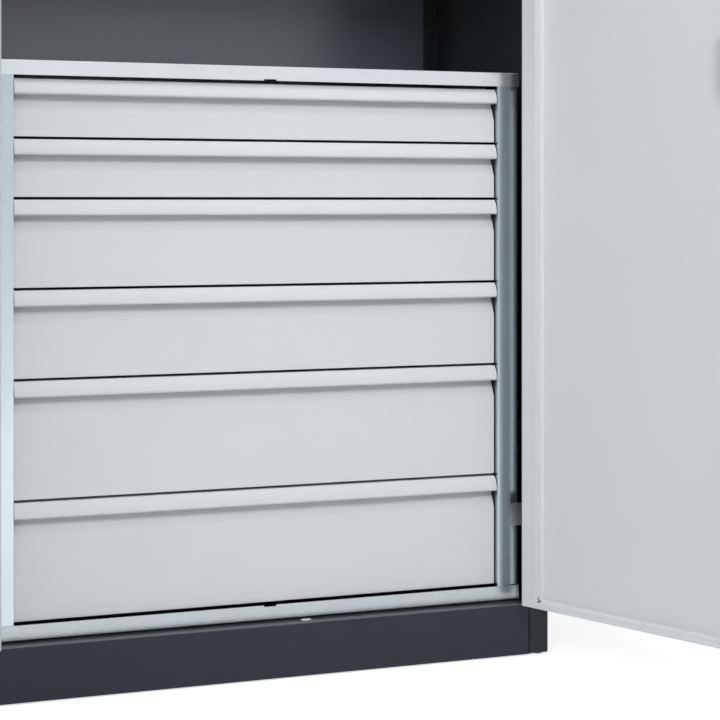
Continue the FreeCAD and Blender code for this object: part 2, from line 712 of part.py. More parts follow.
def rod_slot(play, low, high):
    """A slot for a locking rod, along Z."""
    half = ROD_WIDTH / 2 + play
    return box(LOCK_X - half, LOCK_X + half, ROD_FRONT - play, ROD_BACK + play, low, high)


def right_door():
    """Lock door: a rebate along its free edge, rod slots in both ends and the spindle hole."""
    pan = door_pan()
    t = DOOR_SHEET
    free = DOOR_FREE_EDGE
    ledge_y = FRONT + REBATE_START
    riser_x = free + REBATE_WIDTH
    pan = pan.cut(box(free - OVERCUT, riser_x, ledge_y, DOOR_INSIDE + OVERCUT,
                      DOOR_BOTTOM - OVERCUT, DOOR_TOP + OVERCUT))
    section = [(free, ledge_y), (riser_x, ledge_y), (riser_x, DOOR_INSIDE)]
    pan = joined([pan, extruded(folded(section, -t), "z", DOOR_BOTTOM, DOOR_TOP)])
    for low, high in ((DOOR_BOTTOM, DOOR_BOTTOM + DOOR_END_LIP), (DOOR_TOP - DOOR_END_LIP, DOOR_TOP)):
        pan = pan.cut(rod_slot(ROD_SLOT_PLAY, low - OVERCUT, high + OVERCUT))
    spindle = Part.makeCylinder(SPINDLE_RADIUS + SPINDLE_CLEARANCE, t + 2 * OVERCUT,
                                V(LOCK_X, FRONT - OVERCUT, LOCK_LEVEL), V(0, 1, 0))
    return pan.cut(spindle)


def closing_strip():
    """Angle on the left door's free edge whose tongue lies behind the right door's rebate."""
    edge = -DOOR_FREE_EDGE
    tongue_y = FRONT + REBATE_START + STRIP_CLEARANCE
    section = [
        (edge, DOOR_INSIDE - STRIP_CLEARANCE),
        (edge, tongue_y),
        (edge + STRIP_REACH, tongue_y),
    ]
    return extruded(folded(section, STRIP_SHEET), "z", DOOR_BOTTOM + STRIP_END_GAP,
                    DOOR_TOP - STRIP_END_GAP)


def hinge_frame_half(level):
    """Right frame half: leaf on the channel, and a lug that carries the pin."""
    low = level - KNUCKLE_LENGTH
    leaf = box(OPENING_HALF, OPENING_HALF + HINGE_LEAF_WIDTH, FRONT - HINGE_LEAF_SHEET, FRONT, low, level)
    plan = [(OPENING_HALF, FRONT)]
    for angle in range(180, 361, 45):
        turn = math.radians(angle)
        plan.append((HINGE_X + KNUCKLE_RADIUS * math.cos(turn), HINGE_Y + KNUCKLE_RADIUS * math.sin(turn)))
    plan.append((HINGE_X + KNUCKLE_RADIUS, FRONT))
    lug = extruded(plan, "z", level - HINGE_LUG_THICKNESS, level)
    pin = Part.makeCylinder(HINGE_PIN_RADIUS, HINGE_PIN_LENGTH, V(HINGE_X, HINGE_Y, level), V(0, 0, 1))
    return joined([leaf, lug, pin])


def hinge_door_half(level):
    """Right door half, closed: leaf on the skin and a knuckle bored for the pin."""
    low = level + HINGE_SEAT_GAP
    up = V(0, 0, 1)
    leaf = box(DOOR_HINGE_EDGE - HINGE_LEAF_WIDTH, DOOR_HINGE_EDGE, FRONT - HINGE_LEAF_SHEET, FRONT,
               low, low + KNUCKLE_LENGTH)
    knuckle = Part.makeCylinder(KNUCKLE_RADIUS, KNUCKLE_LENGTH, V(HINGE_X, HINGE_Y, low), up)
    bore = Part.makeCylinder(HINGE_PIN_RADIUS + HINGE_PIN_CLEARANCE, HINGE_PIN_LENGTH + OVERCUT,
                             V(HINGE_X, HINGE_Y, low - OVERCUT), up)
    return joined([leaf, knuckle]).cut(bore)


def rod_guide(level):
    """Moulded saddle on the door skin round a locking rod."""
    block = box(LOCK_X - GUIDE_WIDTH / 2, LOCK_X + GUIDE_WIDTH / 2, FRONT + DOOR_SHEET,
                ROD_BACK + GUIDE_COVER, level - GUIDE_HEIGHT / 2, level + GUIDE_HEIGHT / 2)
    return block.cut(rod_slot(ROD_GUIDE_PLAY, level - GUIDE_HEIGHT, level + GUIDE_HEIGHT))


def rod_keeper(mouth, way):
    """Moulded cup for a rod end, from its mouth towards way."""
    bottom = mouth + way * KEEPER_DEPTH
    pocket = box(LOCK_X - KEEPER_WIDTH / 2 + KEEPER_WALL, LOCK_X + KEEPER_WIDTH / 2 - KEEPER_WALL,
                 ROD_Y - KEEPER_LENGTH / 2 + KEEPER_WALL, ROD_Y + KEEPER_LENGTH / 2 - KEEPER_WALL,
                 mouth - way * OVERCUT, bottom - way * KEEPER_WALL)
    return keeper_seat(min(mouth, bottom), max(mouth, bottom)).cut(pocket)


def lock_case():
    """Sheet cover over the cam, open to the skin, with a slot for each rod."""
    x0 = LOCK_X - CASE_WIDTH / 2
    x1 = LOCK_X + CASE_WIDTH / 2
    z0 = LOCK_LEVEL - CASE_HEIGHT / 2
    z1 = LOCK_LEVEL + CASE_HEIGHT / 2
    y0 = FRONT + DOOR_SHEET
    y1 = DOOR_INSIDE - CASE_DOOR_INSET
    t = CASE_SHEET
    case = box(x0, x1, y0, y1, z0, z1)
    case = case.cut(box(x0 + t, x1 - t, y0 - OVERCUT, y1 - t, z0 + t, z1 - t))
    return case.cut(rod_slot(ROD_GUIDE_PLAY, z0 - OVERCUT, z1 + OVERCUT))


def lock_cam():
    """Cam bar on the spindle square with a pin for each rod, drawn unlocked."""
    outline = bevelled(CAM_PIN_ORBIT + CAM_END, CAM_WIDTH / 2, CAM_CORNER)
    bar = extruded(outline, "y", CAM_FRONT, CAM_BACK)
    bar.rotate(V(0, 0, 0), V(0, 1, 0), 45.0)
    bar.translate(V(LOCK_X, 0, LOCK_LEVEL))
    pins = []
    for side in (1.0, -1.0):
        foot = V(LOCK_X + side * CAM_PIN_OFFSET, CAM_FRONT, LOCK_LEVEL - side * CAM_PIN_OFFSET)
        pins.append(Part.makeCylinder(CAM_PIN_RADIUS, ROD_BACK - CAM_FRONT, foot, V(0, 1, 0)))
    half = SPINDLE_SQUARE / 2
    square = box(LOCK_X - half, LOCK_X + half, CAM_FRONT - OVERCUT, CAM_BACK + OVERCUT,
                 LOCK_LEVEL - half, LOCK_LEVEL + half)
    return joined([bar] + pins).cut(square)


def turn_handle():
    """Turn handle: long grip with bevelled ends on a hub, spindle through the door to the cam."""
    hub_face = PLATE_FACE - HUB_GAP
    grip_face = hub_face - HUB_HEIGHT
    inward = V(0, 1, 0)
    hub = Part.makeCylinder(HUB_RADIUS, HUB_HEIGHT, V(LOCK_X, grip_face, LOCK_LEVEL), inward)
    outline = bevelled(GRIP_LENGTH / 2, GRIP_WIDTH / 2, GRIP_CORNER)
    grip = extruded([(LOCK_X + x, LOCK_LEVEL + z) for x, z in outline], "y", grip_face,
                    grip_face + GRIP_THICKNESS)
    bearing_end = FRONT + DOOR_SHEET
    bearing = Part.makeCylinder(SPINDLE_RADIUS, bearing_end - hub_face,
                                V(LOCK_X, hub_face, LOCK_LEVEL), inward)
    half = SPINDLE_SQUARE / 2
    square = box(LOCK_X - half, LOCK_X + half, bearing_end, CAM_BACK,
                 LOCK_LEVEL - half, LOCK_LEVEL + half)
    plug_bore = Part.makeCylinder(KEY_PLUG_RADIUS + KEY_PLUG_CLEARANCE, KEY_PLUG_DEPTH + OVERCUT,
                                  V(LOCK_X, grip_face - OVERCUT, LOCK_LEVEL), inward)
    return joined([hub, grip, bearing, square]).cut(plug_bore)


def key_plug():
    """Key plug in the middle of the handle, with its keyway."""
    face = PLATE_FACE - HUB_GAP - HUB_HEIGHT - KEY_PLUG_PROUD
    length = KEY_PLUG_PROUD + KEY_PLUG_DEPTH - KEY_PLUG_END_GAP
    plug = Part.makeCylinder(KEY_PLUG_RADIUS, length, V(LOCK_X, face, LOCK_LEVEL), V(0, 1, 0))
    return plug.cut(box(LOCK_X - KEYWAY_WIDTH / 2, LOCK_X + KEYWAY_WIDTH / 2, face - OVERCUT,
                        face + KEYWAY_DEPTH, LOCK_LEVEL - KEYWAY_HEIGHT / 2,
                        LOCK_LEVEL + KEYWAY_HEIGHT / 2))


def handle_plate():
    """Plate with bevelled corners under the handle, bored for the spindle."""
    outline = bevelled(PLATE_WIDTH / 2, PLATE_HEIGHT / 2, PLATE_CORNER)
    plate = extruded([(LOCK_X + x, LOCK_LEVEL + z) for x, z in outline], "y", PLATE_FACE, FRONT)
    return plate.cut(Part.makeCylinder(SPINDLE_RADIUS + SPINDLE_CLEARANCE,
                                       PLATE_THICKNESS + 2 * OVERCUT,
                                       V(LOCK_X, PLATE_FACE - OVERCUT, LOCK_LEVEL), V(0, 1, 0)))


def locking_rod(way, end_level):
    """Rod with a slotted yoke on its cam pin, unlocked; way is 1 for the upper, -1 for the lower."""
    pin_level = LOCK_LEVEL - way * CAM_PIN_OFFSET
    far = CAM_PIN_ORBIT + CAM_PIN_RADIUS + CAM_PIN_SIDE_PLAY
    near = CAM_PIN_OFFSET - CAM_PIN_RADIUS - CAM_PIN_SIDE_PLAY
    neck = LOCK_LEVEL + way * YOKE_NECK
    yoke = box(LOCK_X + way * YOKE_GAP, LOCK_X + way * (far + YOKE_EDGE), ROD_FRONT, ROD_BACK,
               pin_level - way * YOKE_END, neck)
    bar = box(LOCK_X - ROD_WIDTH / 2, LOCK_X + ROD_WIDTH / 2, ROD_FRONT, ROD_BACK,
              neck - way * YOKE_END, end_level)
    half_slot = CAM_PIN_RADIUS + CAM_PIN_PLAY
    slot = box(LOCK_X + way * near, LOCK_X + way * far, ROD_FRONT - OVERCUT, ROD_BACK + OVERCUT,
               pin_level - half_slot, pin_level + half_slot)
    return joined([yoke, bar]).cut(slot)


os.makedirs("parts", exist_ok=True)

right_side = side_panel()
save("side_panel_right", right_side)
save("side_panel_left", mirrored(right_side))
save("floor_panel", floor_panel())
save("plinth_front", plinth_front())
save("plinth_rear", plinth_rear())
save("back_panel", back_panel())
save("top_panel", top_panel())
save("foot_glides", foot_glides())
save("front_uprights", group(both_sides(slotted_upright(FRONT_UPRIGHT_FACE, -UPRIGHT_DEPTH))))
save("rear_uprights", group(both_sides(slotted_upright(REAR_UPRIGHT_FACE, UPRIGHT_DEPTH))))

clips = []
for name, seat in zip(("shelf_lower", "shelf_upper"), SHELF_SEATS):
    save(name, shelf(seat))
    clips.extend(both_sides(shelf_clip(seat, FRONT_UPRIGHT_FACE, 1.0)))
    clips.extend(both_sides(shelf_clip(seat, REAR_UPRIGHT_FACE, -1.0)))
save("shelf_clips", group(clips))

save("block_cover", block_cover())
save("block_tray", block_tray())
save("block_front_posts", group(both_sides(front_post())))
save("block_rear_posts", group(both_sides(rear_post())))
save("block_brackets", group(both_sides(block_bracket())))

cabinet_rails = []
drawer_low = STACK_BOTTOM + FRONT_GAP
for number, pitch in zip(range(len(PITCHES), 0, -1), PITCHES):
    drawer_high = drawer_low + pitch - FRONT_GAP
    cabinet, middle, drawer = slide(drawer_low)
    cabinet_rails.extend(both_sides(cabinet))
    save("drawer_front_" + str(number), drawer_front(drawer_low, drawer_high))
    save("drawer_box_" + str(number), drawer_box(drawer_low, drawer_high))
    save("middle_rails_" + str(number), group(both_sides(middle)))
    save("drawer_rails_" + str(number), group(both_sides(drawer)))
    drawer_low += pitch
save("cabinet_rails", group(cabinet_rails))

frame_halves = []
door_halves = []
for level in HINGE_LEVELS:
    frame_halves.extend(both_sides(hinge_frame_half(level)))
    door_halves.append(hinge_door_half(level))
save("hinge_frame_halves", group(frame_halves))
save("bolt_keepers", group([rod_keeper(FLOOR_TOP, -1.0), rod_keeper(OPENING_TOP, 1.0)]))

save("right_door_panel", swung_open(right_door()))
save("right_door_hinges", swung_open(group(door_halves)))
save("rod_guides", swung_open(group(rod_guide(level) for level in GUIDE_LEVELS)))
save("lock_case", swung_open(lock_case()))
save("handle_plate", swung_open(handle_plate()))
save("turn_handle", swung_open(turn_handle()))
save("lock_cam", swung_open(lock_cam()))
save("key_plug", swung_open(key_plug()))
save("upper_rod", swung_open(locking_rod(1.0, DOOR_TOP - ROD_END_INSET)))
save("lower_rod", swung_open(locking_rod(-1.0, DOOR_BOTTOM + ROD_END_INSET)))

save("left_door_panel", mirrored(swung_open(door_pan())))
save("left_door_hinges", mirrored(swung_open(group(door_halves))))
save("left_closing_strip", mirrored(swung_open(mirrored(closing_strip()))))
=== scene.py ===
import json
import math

import bmesh
import bpy
from mathutils import Matrix, Vector


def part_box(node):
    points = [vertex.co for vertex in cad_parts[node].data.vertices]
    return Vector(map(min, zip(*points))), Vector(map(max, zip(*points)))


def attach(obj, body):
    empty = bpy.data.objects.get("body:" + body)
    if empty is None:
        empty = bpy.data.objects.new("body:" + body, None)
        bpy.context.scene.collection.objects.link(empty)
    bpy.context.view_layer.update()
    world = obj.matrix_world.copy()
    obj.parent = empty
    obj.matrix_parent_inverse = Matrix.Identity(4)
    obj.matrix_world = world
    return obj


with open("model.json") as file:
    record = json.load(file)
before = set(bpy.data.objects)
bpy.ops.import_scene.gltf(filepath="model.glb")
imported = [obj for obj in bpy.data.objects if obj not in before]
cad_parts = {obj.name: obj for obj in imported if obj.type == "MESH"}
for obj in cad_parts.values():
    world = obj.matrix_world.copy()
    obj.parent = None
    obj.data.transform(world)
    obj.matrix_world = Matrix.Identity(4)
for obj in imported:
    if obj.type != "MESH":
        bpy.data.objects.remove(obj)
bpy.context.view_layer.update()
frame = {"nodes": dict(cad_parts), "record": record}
NODES = frame["nodes"]

# Shader nodes. Lengths are in metres and colours are linear.

NOISE_RANGE = (0.3, 0.7)
BEVEL_SAMPLES = 4


def new_material(name):
    """A material with its tree, its shader and the object's own coordinates."""
    material = bpy.data.materials.new(name)
    material.use_nodes = True
    tree = material.node_tree
    shader = tree.nodes["Principled BSDF"]
    coords = tree.nodes.new("ShaderNodeTexCoord")
    return material, tree, shader, coords.outputs["Object"]


def noise(tree, coords, scale, detail=3.0, roughness=0.5, stretch=(1.0, 1.0, 1.0)):
    """Noise in the object's own coordinates, finer along an axis whose stretch is larger."""
    mapping = tree.nodes.new("ShaderNodeMapping")
    mapping.inputs["Scale"].default_value = stretch
    tree.links.new(coords, mapping.inputs["Vector"])
    node = tree.nodes.new("ShaderNodeTexNoise")
    node.inputs["Scale"].default_value = scale
    node.inputs["Detail"].default_value = detail
    node.inputs["Roughness"].default_value = roughness
    tree.links.new(mapping.outputs["Vector"], node.inputs["Vector"])
    return node.outputs["Fac"]


def mapped(tree, value, source, target=(0.0, 1.0)):
    """A value mapped from one range to another, and held at the ends."""
    node = tree.nodes.new("ShaderNodeMapRange")
    node.inputs["From Min"].default_value, node.inputs["From Max"].default_value = source
    node.inputs["To Min"].default_value, node.inputs["To Max"].default_value = target
    tree.links.new(value, node.inputs["Value"])
    return node.outputs["Result"]


def spread(tree, value, low=0.0, high=1.0):
    """The middle of a noise value's range spread over low to high."""
    return mapped(tree, value, NOISE_RANGE, (low, high))


def swing(tree, value, centre, reach):
    """A noise value spread evenly about a centre."""
    return spread(tree, value, centre - reach, centre + reach)


def maths(tree, operation, first, second):
    """One Math node: first is an output, and second an output or a number."""
    node = tree.nodes.new("ShaderNodeMath")
    node.operation = operation
    tree.links.new(first, node.inputs[0])
    if isinstance(second, float):
        node.inputs[1].default_value = second
    else:
        tree.links.new(second, node.inputs[1])
    return node.outputs["Value"]


def blended(tree, factor, first, second):
    """From the first colour to the second: first may be a colour output too."""
    node = tree.nodes.new("ShaderNodeMix")
    node.data_type = "RGBA"
    if isinstance(first, tuple):
        node.inputs["A"].default_value = (*first, 1.0)
    else:
        tree.links.new(first, node.inputs["A"])
    node.inputs["B"].default_value = (*second, 1.0)
    tree.links.new(factor, node.inputs["Factor"])
    return node.outputs["Result"]


def clouded(tree, shader, cloud, colour, factors):
    """A base colour that drifts between a darker and a lighter shade of itself."""
    shades = [tuple(min(1.0, part * factor) for part in colour) for factor in factors]
    tree.links.new(blended(tree, cloud, *shades), shader.inputs["Base Color"])


def bumped(tree, shader, height, strength, distance, fold_radius=0.0):
    """A bump, over edges that are softened where a fold radius is given."""
    bump = tree.nodes.new("ShaderNodeBump")
    bump.inputs["Strength"].default_value = strength
    bump.inputs["Distance"].default_value = distance
    tree.links.new(height, bump.inputs["Height"])
    if fold_radius:
        fold = tree.nodes.new("ShaderNodeBevel")
        fold.samples = BEVEL_SAMPLES
        fold.inputs["Radius"].default_value = fold_radius
        tree.links.new(fold.outputs["Normal"], bump.inputs["Normal"])
    tree.links.new(bump.outputs["Normal"], shader.inputs["Normal"])


# Materials. Patterns are noise settings, depths are those of bumps, swings are in roughness,
# and shades are the factors of a colour's darker and lighter parts.

COAT_CLOUD = {"scale": 5.0, "detail": 4.0}
COAT_GLOSS = {"scale": 28.0}
COAT_PEEL = {"scale": 1500.0, "detail": 2.0}
COAT_PEEL_DEPTH = 0.00004
COAT_SWING_PER_PEEL = 0.12

ZINC_METALLIC = 0.92
ZINC_SHADES = (0.97, 1.03)
ZINC_CLOUD = {"scale": 9.0, "detail": 2.0}
ZINC_STREAKS = {"scale": 30.0, "detail": 4.0, "roughness": 0.6}
ZINC_RIPPLE = {"scale": 220.0, "detail": 1.0}
ZINC_RIPPLE_STRENGTH = 0.02
ZINC_RIPPLE_DEPTH = 0.00002
ZINC_GLOSS_SWING = 0.012

PLASTIC_SHADES = (0.92, 1.08)
PLASTIC_CLOUD = {"scale": 40.0}
PLASTIC_GLOSS = {"scale": 90.0, "detail": 2.0}
PLASTIC_GRAIN = {"scale": 2600.0, "detail": 2.0}
PLASTIC_GRAIN_STRENGTH = 0.3
PLASTIC_GRAIN_DEPTH = 0.00005
PLASTIC_GLOSS_SWING = 0.05
PLASTIC_FOLD = 0.0006

PLATED_SHADES = (0.93, 1.05)
PLATED_MARKS = {"scale": 400.0, "roughness": 0.6, "stretch": (1.0, 1.0, 5.0)}
PLATED_MARKS_STRENGTH = 0.1
PLATED_MARKS_DEPTH = 0.00003
PLATED_GLOSS_BELOW = 0.04
PLATED_GLOSS_ABOVE = 0.07
PLATED_FOLD = 0.0004

# A face looks along an axis from this cosine on. The fades are in the object's Y, and set where
# the painted shade begins on the posts' flange and on their inner wall.

FACING = 0.5
POST_FLANGE_SHADE_FADE = (-0.2230, -0.2210)
POST_WALL_SHADE_FADE = (-0.2185, -0.2150)


def powder_coat(name, colour, roughness, gloss_level=0.45, mottle=0.03, fold=0.0009, peel=0.3):
    """Baked powder coat: fine orange peel, a faint mottle and slightly uneven gloss."""
    material, tree, shader, coords = new_material(name)
    cloud = spread(tree, noise(tree, coords, **COAT_CLOUD))
    clouded(tree, shader, cloud, colour, (1.0 - mottle, 1.0 + mottle))
    gloss = swing(tree, noise(tree, coords, **COAT_GLOSS), roughness, COAT_SWING_PER_PEEL * peel)
    tree.links.new(gloss, shader.inputs["Roughness"])
    shader.inputs["Specular IOR Level"].default_value = gloss_level
    bumped(tree, shader, noise(tree, coords, **COAT_PEEL), peel, COAT_PEEL_DEPTH, fold)
    return material


def painted_facing_tone(material, axis, way, colour):
    """Another colour on faces that look along one axis, as painted light or shade: way is 1.0,
    -1.0, or 0.0 for both.
    """
    tree = material.node_tree
    base = tree.nodes["Principled BSDF"].inputs["Base Color"]
    normal = tree.nodes.new("ShaderNodeSeparateXYZ")
    tree.links.new(tree.nodes["Texture Coordinate"].outputs["Normal"], normal.inputs["Vector"])
    operation = "MULTIPLY" if way else "ABSOLUTE"
    turned_so = maths(tree, operation, normal.outputs[axis], way)
    chosen = maths(tree, "GREATER_THAN", turned_so, FACING)
    tree.links.new(blended(tree, chosen, base.links[0].from_socket, colour), base)


def zinc(name, colour, roughness, streak=(1.0, 1.0, 6.0), fold=0.0):
    """Smooth zinc-coated sheet: faint rolling streaks and a soft cloudy gloss."""
    material, tree, shader, coords = new_material(name)
    shader.inputs["Metallic"].default_value = ZINC_METALLIC
    cloud = spread(tree, noise(tree, coords, **ZINC_CLOUD))
    clouded(tree, shader, cloud, colour, ZINC_SHADES)
    lines = noise(tree, coords, stretch=streak, **ZINC_STREAKS)
    gloss = swing(tree, lines, roughness, ZINC_GLOSS_SWING)
    tree.links.new(gloss, shader.inputs["Roughness"])
    ripple = noise(tree, coords, **ZINC_RIPPLE)
    bumped(tree, shader, ripple, ZINC_RIPPLE_STRENGTH, ZINC_RIPPLE_DEPTH, fold)
    return material


def post_zinc_painted_shade(name, face, flange, inside, roughness):
    """Zinc sheet of the slide posts with painted light: a darker teal face as a painted
    reflection, then a darker flange and a near-black inner wall as painted shade.
    """
    material = zinc(name, face, roughness)
    tree = material.node_tree
    base = tree.nodes["Principled BSDF"].inputs["Base Color"]
    place = tree.nodes.new("ShaderNodeSeparateXYZ")
    tree.links.new(tree.nodes["Texture Coordinate"].outputs["Object"], place.inputs["Vector"])
    colour_out = base.links[0].from_socket
    # Painted shade: the flange, and then the wall inwards, fade to darker colours.
    for fade, colour in ((POST_FLANGE_SHADE_FADE, flange), (POST_WALL_SHADE_FADE, inside)):
        colour_out = blended(tree, mapped(tree, place.outputs["Y"], fade), colour_out, colour)
    tree.links.new(colour_out, base)
    return material


def plastic(name, colour, roughness):
    """Moulded plastic with a fine spark-eroded texture."""
    material, tree, shader, coords = new_material(name)
    cloud = spread(tree, noise(tree, coords, **PLASTIC_CLOUD))
    clouded(tree, shader, cloud, colour, PLASTIC_SHADES)
    gloss = swing(tree, noise(tree, coords, **PLASTIC_GLOSS), roughness, PLASTIC_GLOSS_SWING)
    tree.links.new(gloss, shader.inputs["Roughness"])
    grain = noise(tree, coords, **PLASTIC_GRAIN)
    bumped(tree, shader, grain, PLASTIC_GRAIN_STRENGTH, PLASTIC_GRAIN_DEPTH, PLASTIC_FOLD)
    return material


def plated(name, colour, roughness):
    """Bright plated steel with fine turned marks."""
    material, tree, shader, coords = new_material(name)
    shader.inputs["Metallic"].default_value = 1.0
    marks = noise(tree, coords, **PLATED_MARKS)
    clouded(tree, shader, marks, colour, PLATED_SHADES)
    gloss = spread(tree, marks, roughness - PLATED_GLOSS_BELOW, roughness + PLATED_GLOSS_ABOVE)
    tree.links.new(gloss, shader.inputs["Roughness"])
    bumped(tree, shader, marks, PLATED_MARKS_STRENGTH, PLATED_MARKS_DEPTH, PLATED_FOLD)
    return material


# One look for each slot

SMOOTH_PEEL = 0.12
EVEN_MOTTLE = 0.010
SLIDE_STREAK = (1.0, 0.05, 1.0)
LOCK_STREAK = (1.0, 1.0, 0.1)
SMALL_FOLD = 0.0004

LOOKS = {
    "carcass_paint": powder_coat("anthracite_coat", (0.015, 0.020, 0.027), roughness=0.34,
                                 gloss_level=0.4, peel=SMOOTH_PEEL),
    "door_paint": powder_coat("light_grey_door_coat", (0.620, 0.640, 0.655), roughness=0.36,
                              mottle=EVEN_MOTTLE),
    "front_paint": powder_coat("light_grey_front_coat", (0.602, 0.622, 0.636), roughness=0.36,
                               mottle=EVEN_MOTTLE),
    "drawer_sheet": powder_coat("light_grey_box_coat", (0.565, 0.585, 0.60), roughness=0.45,
                                mottle=0.015),
    "galvanised": zinc("bright_zinc_sheet", (0.665, 0.705, 0.73), roughness=0.25),
    "slide_steel": zinc("zinc_slide_steel", (0.60, 0.62, 0.63), roughness=0.30,
                        streak=SLIDE_STREAK),
    "lock_steel": zinc("zinc_lock_steel", (0.62, 0.63, 0.62), roughness=0.32,
                       streak=LOCK_STREAK, fold=SMALL_FOLD),
    "hinge_steel": powder_coat("hinge_coat", (0.036, 0.041, 0.048), roughness=0.38,
                               fold=SMALL_FOLD),
    "handle_plastic": plastic("black_handle_plastic", (0.014, 0.015, 0.016), roughness=0.36),
    "key_metal": plated("nickel_key_plug", (0.72, 0.71, 0.68), roughness=0.16),
    "white_plastic": plastic("white_keeper_plastic", (0.75, 0.76, 0.77), roughness=0.40),
    "black_plastic": plastic("black_moulded_plastic", (0.012, 0.012, 0.013), roughness=0.48),
}

# Nodes that differ from the rest of their slot. Side, back and floor panels, brackets, tray and
# posts get darker or lighter copies of their slot's finish as painted shade and painted light.

BROAD_FACES = (0.020, 0.027, 0.035)
# Painted light: a lighter colour for the front face of the back wall.
BACK_WALL_FRONT_PAINTED_LIGHT = (0.080, 0.100, 0.126)

# Painted shade: the side panels' coat is darker than the carcass coat, and only their broad faces
# get a lighter tone.
SIDE_COAT_PAINTED_SHADE = powder_coat("anthracite_coat_side_painted_shade", (0.005, 0.0085, 0.012), roughness=0.34,
                        gloss_level=0.32, peel=SMOOTH_PEEL)
painted_facing_tone(SIDE_COAT_PAINTED_SHADE, "X", 0.0, BROAD_FACES)
# Painted light: the back wall's front face is lighter than its other faces of the same coat.
BACK_COAT_PAINTED_LIGHT = powder_coat("anthracite_coat_back_painted_light", BROAD_FACES, roughness=0.30,
                        gloss_level=1.0, peel=0.04)
painted_facing_tone(BACK_COAT_PAINTED_LIGHT, "Y", -1.0, BACK_WALL_FRONT_PAINTED_LIGHT)

OWN_LOOKS = {
    "side_panel_left": SIDE_COAT_PAINTED_SHADE,
    "side_panel_right": SIDE_COAT_PAINTED_SHADE,
    "back_panel": BACK_COAT_PAINTED_LIGHT,
    "plinth_front": powder_coat("anthracite_coat_plinth", (0.016, 0.022, 0.031), roughness=0.45,
                                gloss_level=0.25, peel=SMOOTH_PEEL),
    # Painted light: the floor panel's coat is a lighter copy of the anthracite carcass coat,
    # standing in for its reflection.
    "floor_panel": powder_coat("anthracite_coat_floor_painted_light", (0.040, 0.050, 0.060), roughness=0.22,
                               gloss_level=1.0, mottle=EVEN_MOTTLE, peel=0.05),
    # Painted shade: the brackets' zinc is a darker copy of the bright zinc, and is also rougher.
    "block_brackets": zinc("dull_zinc_sheet_painted_shade", (0.36, 0.40, 0.42), roughness=0.5),
    # Painted light: the teal face is a painted reflection, the darker flange and near-black inside
    # are painted shade.
    "block_front_posts": post_zinc_painted_shade("post_zinc_painted_shade_sheet", face=(0.475, 0.560, 0.600),
                                   flange=(0.37, 0.425, 0.45), inside=(0.025, 0.030, 0.035),
                                   roughness=0.22),
    # Painted shade: the tray's zinc is a darker copy of the bright zinc, for its dimmer
    # reflection.
    "block_tray": zinc("zinc_sheet_painted_shade", (0.380, 0.415, 0.43), roughness=0.28),
}

for part in frame["record"]["subparts"]:
    node = NODES[part["node"]]
    node.data.materials.clear()
    node.data.materials.append(OWN_LOOKS.get(part["node"], LOOKS[part["material_slot"]]))


def linked_object(form, name):
    """An object made of a bmesh, which is freed."""
    mesh = bpy.data.meshes.new(name)
    form.to_mesh(mesh)
    form.free()
    piece = bpy.data.objects.new(name, mesh)
    bpy.context.scene.collection.objects.link(piece)
    return piece


# Rivets through the sides of the drawer boxes

RIVET = [(0.0036, -0.0002), (0.0036, 0.0003), (0.0033, 0.0009), (0.0024, 0.0013), (0.0010, 0.0015)]
RIVET_SEGMENTS = 20
RIVET_SHARES = (0.12, 0.5, 0.88)
BOX_SHEET = 0.001
DRAWERS = 6


def turned(name, profile, places, axis, material, body):
    """One revolved profile of (radius, height) pairs, copied to each place along an axis."""
    form = bmesh.new()
    turn = Vector((0.0, 0.0, 1.0)).rotation_difference(Vector(axis)).to_matrix().to_4x4()
    for place in places:
        spot = Matrix.Translation(Vector(place)) @ turn
        rings = []
        for radius, height in profile:
            ring = []
            for step in range(RIVET_SEGMENTS):
                angle = 2.0 * math.pi * step / RIVET_SEGMENTS
                at = Vector((radius * math.cos(angle), radius * math.sin(angle), height))
                ring.append(form.verts.new(spot @ at))
            rings.append(ring)
        for lower, upper in zip(rings, rings[1:]):
            for step in range(RIVET_SEGMENTS):
                after = (step + 1) % RIVET_SEGMENTS
                form.faces.new((lower[step], lower[after], upper[after], upper[step]))
        form.faces.new(rings[-1])
        form.faces.new(list(reversed(rings[0])))
    for face in form.faces:
        face.smooth = len(face.verts) == 4
    piece = linked_object(form, name)
    piece.data.materials.append(material)
    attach(piece, body)


for number in range(1, DRAWERS + 1):
    low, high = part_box("drawer_box_%d" % number)
    rail_low, rail_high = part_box("drawer_rails_%d" % number)
    level = 0.5 * (rail_low.z + rail_high.z)
    run = [low.y + (high.y - low.y) * share for share in RIVET_SHARES]
    for side, wall, inward in (("left", low.x, 1.0), ("right", high.x, -1.0)):
        places = [(wall + inward * BOX_SHEET, along, level) for along in run]
        turned("drawer_%d_rivets_%s" % (number, side), RIVET, places, (inward, 0.0, 0.0),
               LOOKS["slide_steel"], "drawer_%d" % number)

# Paint beads in the corners of the door pans, given for the closed right door

DOOR_INNER_LEFT = 0.0445
DOOR_INNER_RIGHT = 0.4555
DOOR_INNER_LOW = 0.1055
DOOR_INNER_HIGH = 1.9485
DOOR_SKIN_BACK = -0.2488
HINGE_X = 0.48575
HINGE_Y = -0.255
DOOR_OPEN_ANGLE = 118.0
BEAD_RADIUS = 0.004
BEAD_BITE = 0.0003
BEAD_STEPS = 8


def bead_section():
    """Closed section of a bead, as (inset, rise) pairs from the corner of the pan."""
    section = [(-BEAD_BITE, BEAD_RADIUS)]
    for step in range(BEAD_STEPS + 1):
        angle = 0.5 * math.pi * step / BEAD_STEPS
        inset = BEAD_RADIUS * (1.0 - math.cos(angle))
        rise = BEAD_RADIUS * (1.0 - math.sin(angle))
        section.append((inset, rise))
    section.append((BEAD_RADIUS, -BEAD_BITE))
    section.append((-BEAD_BITE, -BEAD_BITE))
    return section


